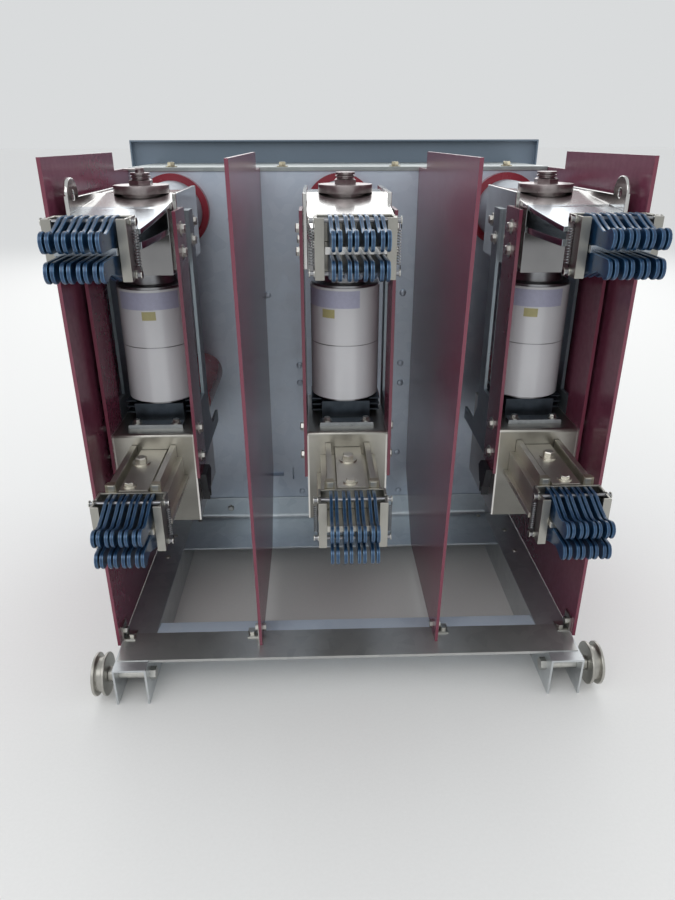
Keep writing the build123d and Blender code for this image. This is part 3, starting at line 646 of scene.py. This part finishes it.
# The vacuum interrupters: two glazed alumina tubes brazed to a thin metal ring between
# them, with drawn steel cups at both ends. Two bare stickers mark each one.
glaze_cloud = 0.05
glaze_fleck = 0.003
alumina, tree, shader, place = start_finish("glazed_alumina")
cloud = add_node(
    tree, "ShaderNodeTexNoise", {"Vector": place, "Scale": 1 / glaze_cloud, "Detail": 3.0},
)
fleck = add_node(
    tree, "ShaderNodeTexNoise", {"Vector": place, "Scale": 1 / glaze_fleck, "Detail": 1.0},
)
tone = add_node(tree, "ShaderNodeMix", {0: cloud, 6: "#d6d7da", 7: "#e2e3e5"}, data_type="RGBA")
relief = add_node(tree, "ShaderNodeBump", {"Height": fleck, "Strength": 0.05, "Distance": 0.0002})
set_inputs(tree, shader, {
    "Base Color": tone.outputs[2], "Roughness": 0.24, "IOR": 1.6, "Normal": relief,
    "Coat Weight": 0.4, "Coat Roughness": 0.08,
})
dress([f"interrupter_{pole}" for pole in poles], alumina)

cup_steel = make_plated_steel("drawn_cup_steel", "#85868a", "#a9aaad")
ceramic_radius = 0.046
ceramic_length = 0.149
cup_rise = 0.027
head_half_height = 0.050
tube_top = upper_z - head_half_height - cup_rise
tube_bottom = tube_top - ceramic_length
cup_profile = [(0.0440, 0), (0.0440, 0.0030), (0.0400, 0.0050), (0.0355, 0.0055),
               (0.0345, 0.0080), (0.0345, 0.0265)]
seat_profile = [(0.0405, 0.0002), (0.0425, 0.0010), (0.0425, 0.0040)]
ring_profile = [(0.0455, 0), (0.0459, 0.0003), (0.0459, 0.0013), (0.0455, 0.0016)]
ring_bottom = (tube_top + tube_bottom) / 2 - 0.0008
form = bmesh.new()
for x in poles.values():
    add_turned(form, (x, pole_y, tube_top), (0, 0, 1), cup_profile, sides=64)
    add_turned(form, (x, pole_y, tube_bottom - 0.004), (0, 0, 1), seat_profile, sides=64)
    add_turned(form, (x, pole_y, ring_bottom), (0, 0, 1), ring_profile, sides=64)
make_piece("interrupter_cups", form, cup_steel)


def make_sticker_film(name, code):
    """Thin vinyl left bare: a flat even colour with a faint wrinkle."""
    wrinkle = 0.004
    finish, tree, shader, place = start_finish(name)
    cloud = add_node(tree, "ShaderNodeTexNoise", {"Vector": place, "Scale": 1 / wrinkle})
    shade = add_node(tree, "ShaderNodeMapRange", {"Value": cloud, "To Min": 0.9, "To Max": 1.1})
    tone = add_node(
        tree, "ShaderNodeVectorMath", {0: linear(code)[:3], 3: shade}, operation="SCALE",
    )
    relief = add_node(
        tree, "ShaderNodeBump", {"Height": cloud, "Strength": 0.1, "Distance": 0.0002},
    )
    set_inputs(tree, shader, {"Base Color": tone, "Roughness": 0.38, "Normal": relief})
    return finish


def add_wrap(form, x, middle_angle, half_angle, bottom, top):
    """Add a thin film bent round the ceramic tube, facing the contact side."""
    steps = 16
    inner = ceramic_radius + 0.0001
    outer = ceramic_radius + 0.0004
    loops = []
    for step in range(steps + 1):
        angle = middle_angle - half_angle + 2 * half_angle * step / steps
        loops.append([
            (x + radius * math.sin(angle), pole_y - radius * math.cos(angle), z)
            for radius, z in ((inner, bottom), (outer, bottom), (outer, top), (inner, top))
        ])
    add_skin(form, loops)


violet_film = make_sticker_film("pale_violet_vinyl", "#b3b5cb")
straw_film = make_sticker_film("straw_vinyl", "#b5ae7c")
band_half_angle = math.radians(52)
tag_half_angle = math.radians(11)
sticker_turns = {"left": 2, "middle": -30, "right": -18}
band_form = bmesh.new()
tag_form = bmesh.new()
for pole, x in poles.items():
    turn = math.radians(sticker_turns[pole])
    add_wrap(band_form, x, turn, band_half_angle, tube_top - 0.025, tube_top - 0.003)
    add_wrap(tag_form, x, turn, tag_half_angle, tube_top - 0.038, tube_top - 0.027)
make_piece("interrupter_bands", band_form, violet_film)
make_piece("interrupter_tags", tag_form, straw_film)


# The flexible connectors: a steel clamp block on each lower head grips a stack of thin
# copper leaves that bow out at both sides. Block and leaves have gone dark.
block_cloud = 0.010
clamp_steel, tree, shader, place = start_finish("darkened_clamp_steel")
cloud = add_node(
    tree, "ShaderNodeTexNoise", {"Vector": place, "Scale": 1 / block_cloud, "Detail": 4.0},
)
tone = add_node(tree, "ShaderNodeMix", {0: cloud, 6: "#343b43", 7: "#59616a"}, data_type="RGBA")
gloss = add_node(tree, "ShaderNodeMapRange", {"Value": cloud, "To Min": 0.30, "To Max": 0.50})
set_inputs(tree, shader, {"Base Color": tone.outputs[2], "Metallic": 1.0, "Roughness": gloss})
connector_nodes = [f"flex_connector_{pole}" for pole in poles]
dress(connector_nodes, clamp_steel)
soften(connector_nodes, 0.0005)

head_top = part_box("lower_head_middle")[1][2]
bar_top = head_top + 0.005
bar_y = pole_y - 0.062
bar_corners = [(-0.036, -0.009), (0.036, -0.009), (0.036, 0.009), (-0.036, 0.009)]
form = bmesh.new()
bolts = bmesh.new()
for x in poles.values():
    add_skin(form, [
        [(x + dx, bar_y + dy, head_top) for dx, dy in bar_corners],
        [(x + dx * 0.985, bar_y + dy * 0.94, bar_top) for dx, dy in bar_corners],
    ])
    for dx in (-0.026, 0.026):
        add_bolt(bolts, (x + dx, bar_y, bar_top), (0, 0, 1), flats=0.008, head=0.004, washer=0.001)
bar_steel = make_plated_steel("brushed_clamp_bar_steel", "#8b8f93", "#b3b7ba")
make_piece("connector_clamp_bars", form, bar_steel)
make_piece("connector_clamp_bolts", bolts, bright_zinc)


# The arm fixings: two silver-plated bolts hold the wear plate of each lower arm, and a
# plated cast foot ends each of its ribs beside the cage.
bridge_top = lower_z + 0.019
wear_top = lower_z + 0.030
foot_top = lower_z + 0.0375
cage_back = cage_high[1]
rib_offset = 0.026
foot_corners = [(-0.0052, 0.010), (0.0052, 0.010), (0.0065, 0.001), (-0.0065, 0.001)]
bolt_shifts = {"left": -0.0075, "middle": -0.001, "right": 0.002}
form = bmesh.new()
feet = bmesh.new()
for pole, x in poles.items():
    for back, flats, height in ((-0.132, 0.013, 0.0065), (-0.194, 0.010, 0.0030)):
        bolt_foot = (x + bolt_shifts[pole], pole_y + back, wear_top)
        add_bolt(form, bolt_foot, (0, 0, 1), flats, height, washer=0.0016)
    for side in (-1, 1):
        rib = x + side * rib_offset
        add_skin(feet, [
            [(rib + dx, cage_back + dy, bridge_top) for dx, dy in foot_corners],
            [(rib + dx * 0.9, cage_back + dy * 0.9 + 0.0005, foot_top) for dx, dy in foot_corners],
        ])
make_piece("arm_bolts", form, arm_silver)
foot_silver = make_silver_plate("cast_foot_plating", "#b5ad99", "#d3ccba", 0.30)
make_piece("arm_rib_feet", feet, foot_silver)


# The finger cages: channels of steel sheet bent round each finger cluster, nickel plated.
# Retaining rings hold the finger rods at both sides, and a pull spring joins each pair.
cage_nickel = make_silver_plate("nickel_plated_cages", "#94938d", "#b4b2ab", 0.26)
cage_nodes = [f"finger_cages_{pole}" for pole in poles]
dress(cage_nodes, cage_nickel)
soften(cage_nodes, 0.0007)

cage_half = (cage_high[0] - cage_low[0]) / 2
rod_y = cage_back - 0.020
rod_rise = 0.025
rod_past_wall = 0.006
spring_past_wall = 0.0032
washer_profile = [(0.0042, 0.0002), (0.0042, 0.0012)]
end_ring_profile = [(0.0040, 0.0048), (0.0040, 0.0058), (0.0034, 0.0060)]


def add_spring(form, middle, half_length, coil_radius, wire_radius, turns):
    """Add an upright pull spring: a close coil whose two ends run on as straight hooks."""
    per_turn = 12
    sides = 6
    hook = 0.3 * half_length
    coil_half = half_length - hook
    points = [Vector((coil_radius, 0, -half_length)), Vector((coil_radius, 0, -coil_half))]
    for step in range(turns * per_turn + 1):
        angle = 2 * math.pi * step / per_turn
        height = coil_half * (2 * step / (turns * per_turn) - 1)
        point = (coil_radius * math.cos(angle), coil_radius * math.sin(angle), height)
        points.append(Vector(point))
    points += [Vector((coil_radius, 0, coil_half)), Vector((coil_radius, 0, half_length))]
    loops = []
    for point in points:
        outward = Vector((point.x, point.y, 0)).normalized()
        loop = []
        for corner in range(sides):
            spin = 2 * math.pi * corner / sides
            offset = outward * math.cos(spin) + Vector((0, 0, 1)) * math.sin(spin)
            loop.append(Vector(middle) + point + wire_radius * offset)
        loops.append(loop)
    add_skin(form, loops)


form = bmesh.new()
springs = bmesh.new()
for x in poles.values():
    for centre_z in (lower_z, upper_z):
        for side in (-1, 1):
            wall = x + side * cage_half
            for up in (-1, 1):
                foot = (wall, rod_y, centre_z + up * rod_rise)
                for rings in (washer_profile, end_ring_profile):
                    add_turned(form, foot, (side, 0, 0), rings, sides=20)
            middle = (wall + side * spring_past_wall, rod_y, centre_z)
            add_spring(springs, middle, rod_rise, coil_radius=0.0024, wire_radius=0.0005, turns=13)
make_piece("finger_rod_rings", form, bright_zinc)
spring_steel = make_plated_steel("dull_spring_steel", "#6b6d70", "#95979a")
make_piece("finger_pull_springs", springs, spring_steel)


# The contact fingers: stamped copper blades with hooked noses, blue lacquered, strung side
# by side on two steel rods in each cluster. Their rounded edges are painted a lighter blue,
# partly rubbed lacquer and partly a painted highlight. The upper cluster of the middle pole
# is slack and leans to the right.
lacquer_rub = 0.006
lacquer, tree, shader, place = start_finish("blue_lacquered_copper")
rub = add_node(
    tree, "ShaderNodeTexNoise", {"Vector": place, "Scale": 1 / lacquer_rub, "Detail": 4.0},
)
tone = add_node(tree, "ShaderNodeMix", {0: rub, 6: "#0e2740", 7: "#224a70"}, data_type="RGBA")
gloss = add_node(tree, "ShaderNodeMapRange", {"Value": rub, "To Min": 0.22, "To Max": 0.40})
set_inputs(tree, shader, {
    "Base Color": tone.outputs[2], "Metallic": 0.4, "Roughness": gloss,
    "Coat Weight": 0.5, "Coat Roughness": 0.15,
})

# The rounded finger edges are painted a light blue: partly rubbed lacquer, partly a painted
# highlight.
edge_rub = 0.004
edge_wear_and_highlight, tree, shader, place = start_finish("rubbed_edge_painted_highlight")
rub = add_node(
    tree, "ShaderNodeTexNoise", {"Vector": place, "Scale": 1 / edge_rub, "Detail": 4.0},
)
tone = add_node(tree, "ShaderNodeMix", {0: rub, 6: "#35608a", 7: "#7f9fba"}, data_type="RGBA")
set_inputs(tree, shader, {"Base Color": tone.outputs[2], "Metallic": 0.7, "Roughness": 0.28})

finger_count = 8
finger_pitch = 0.0073
finger_thickness = 0.0034
finger_length = 0.082
blade_half_thickness = 0.0035
nose_y = pole_y - 0.295
pair_shift = 0.00065
slack_lean = 0.0026
finger_outline = [
    (0.0120, 0.0000), (0.0072, 0.0002), (0.0046, 0.0012), (0.0024, 0.0038), (0.0009, 0.0075),
    (0.0005, 0.0112), (0.0016, 0.0150), (0.0042, 0.0180), (0.0078, 0.0194), (0.0115, 0.0194),
    (0.0155, 0.0178), (0.0200, 0.0158), (0.0280, 0.0150), (0.0400, 0.0188), (0.0500, 0.0225),
    (0.0565, 0.0253), (0.0600, 0.0265), (0.0790, 0.0265), (0.0818, 0.0250), (0.0820, 0.0000),
]


def add_finger(form, centre, centre_z, up, lean):
    """Add one finger whose contact face lies on the blade that it grips."""
    contact = centre_z + up * blade_half_thickness
    add_skin(form, [
        [
            (flat + lean * (1 - back / finger_length), nose_y + back, contact + up * rise)
            for back, rise in finger_outline
        ]
        for flat in (centre - finger_thickness / 2, centre + finger_thickness / 2)
    ])


edge_round = 0.0006
rod_half = cage_half + rod_past_wall
rod_profile = [(0.0025, 0), (0.0025, 2 * rod_half)]
for pole, x in poles.items():
    form = bmesh.new()
    rods = bmesh.new()
    for centre_z in (lower_z, upper_z):
        lean = slack_lean if pole == "middle" and centre_z == upper_z else 0.0
        for up in (-1, 1):
            for count in range(finger_count):
                closer = pair_shift if count % 2 == 0 else -pair_shift
                centre = x + (count - (finger_count - 1) / 2) * finger_pitch + closer
                add_finger(form, centre, centre_z, up, lean)
            rod_end = (x - rod_half, rod_y, centre_z + up * rod_rise)
            add_turned(rods, rod_end, (1, 0, 0), rod_profile, sides=16)
    bmesh.ops.recalc_face_normals(form, faces=form.faces)
    rims = [edge for edge in form.edges if edge.calc_face_angle(0) > math.radians(60)]
    edge_bevel = bmesh.ops.bevel(
        form, geom=rims, offset=edge_round, segments=2, affect="EDGES", clamp_overlap=True,
    )
    for face in edge_bevel["faces"]:
        face.material_index = 1
    fingers = make_piece(f"stamped_fingers_{pole}", form, lacquer)
    fingers.data.materials.append(edge_wear_and_highlight)
    make_piece(f"finger_rods_{pole}", rods, cup_steel)
    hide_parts(f"contact_fingers_{pole}")


# The strut and side plate bolts: zinc-plated hexagon heads on washers along both sides of
# every pole, two at each end of a strut, one high on the support bar and one on the side
# plate. Each is given by its place along, its rise and the face that it stands on.
strut_face = 0.057
plate_face = 0.053
side_bolts = [
    (-0.067, 0.545, strut_face), (-0.067, 0.518, strut_face),
    (-0.067, 0.290, strut_face), (-0.067, 0.249, strut_face),
    (0.006, 0.523, strut_face), (0.045, 0.542, plate_face),
]
form = bmesh.new()
for x in poles.values():
    for side in (-1, 1):
        for y, rise, face in side_bolts:
            foot = (x + side * face, pole_y + y, rail_top + rise)
            add_bolt(form, foot, (side, 0, 0), flats=0.010, head=0.0042, washer=0.0009)
make_piece("side_plate_bolts", form, bright_zinc)


# The support bars and drive levers: bars of galvanised steel behind the struts, and levers
# of black glass-filled nylon, moulded with a slight grain, below them.
bar_zinc = make_galvanised("galvanised_bar_steel", "#7f8b93", "#a2adb3", 0.38)
dress(("support_bars",), bar_zinc)

mould_grain = 0.0012  # a real mould grain is finer: drawn this coarse to show
mould_cloud = 0.02
nylon, tree, shader, place = start_finish("black_filled_nylon")
grain = add_node(
    tree, "ShaderNodeTexNoise", {"Vector": place, "Scale": 1 / mould_grain, "Detail": 1.0},
)
cloud = add_node(
    tree, "ShaderNodeTexNoise", {"Vector": place, "Scale": 1 / mould_cloud, "Detail": 3.0},
)
tone = add_node(tree, "ShaderNodeMix", {0: cloud, 6: "#14161a", 7: "#23262b"}, data_type="RGBA")
relief = add_node(tree, "ShaderNodeBump", {"Height": grain, "Strength": 0.3, "Distance": 0.0001})
set_inputs(tree, shader, {
    "Base Color": tone.outputs[2], "Roughness": 0.5, "IOR": 1.53, "Normal": relief,
})
dress(("drive_levers",), nylon)


# The post insulators: low round ones and longer posts cast in red epoxy resin and bolted to
# the housing. The mould leaves a smooth glossy skin.
resin_cloud = 0.03
epoxy, tree, shader, place = start_finish("cast_red_epoxy")
cloud = add_node(
    tree, "ShaderNodeTexNoise", {"Vector": place, "Scale": 1 / resin_cloud, "Detail": 3.0},
)
tone = add_node(tree, "ShaderNodeMix", {0: cloud, 6: "#7c2430", 7: "#97323f"}, data_type="RGBA")
gloss = add_node(tree, "ShaderNodeMapRange", {"Value": cloud, "To Min": 0.20, "To Max": 0.32})
set_inputs(tree, shader, {"Base Color": tone.outputs[2], "Roughness": gloss, "IOR": 1.55})
dress([f"post_insulators_{pole}" for pole in poles], epoxy)


# The head spigots: round aluminium castings that carry the upper heads on their insulators.
# Their skin is dull and light grey, with the faint grain of the sand mould.
sand_grain = 0.0016  # real moulding sand is finer: drawn this coarse to show
skin_cloud = 0.03
casting, tree, shader, place = start_finish("sand_cast_aluminium")
grain = add_node(tree, "ShaderNodeTexNoise", {"Vector": place, "Scale": 1 / sand_grain})
cloud = add_node(
    tree, "ShaderNodeTexNoise", {"Vector": place, "Scale": 1 / skin_cloud, "Detail": 3.0},
)
tone = add_node(tree, "ShaderNodeMix", {0: cloud, 6: "#9aa1a9", 7: "#b3b9bf"}, data_type="RGBA")
relief = add_node(tree, "ShaderNodeBump", {"Height": grain, "Strength": 0.4, "Distance": 0.0002})
set_inputs(tree, shader, {
    "Base Color": tone.outputs[2], "Metallic": 0.7, "Roughness": 0.55, "Normal": relief,
})
dress(("head_spigots",), casting)
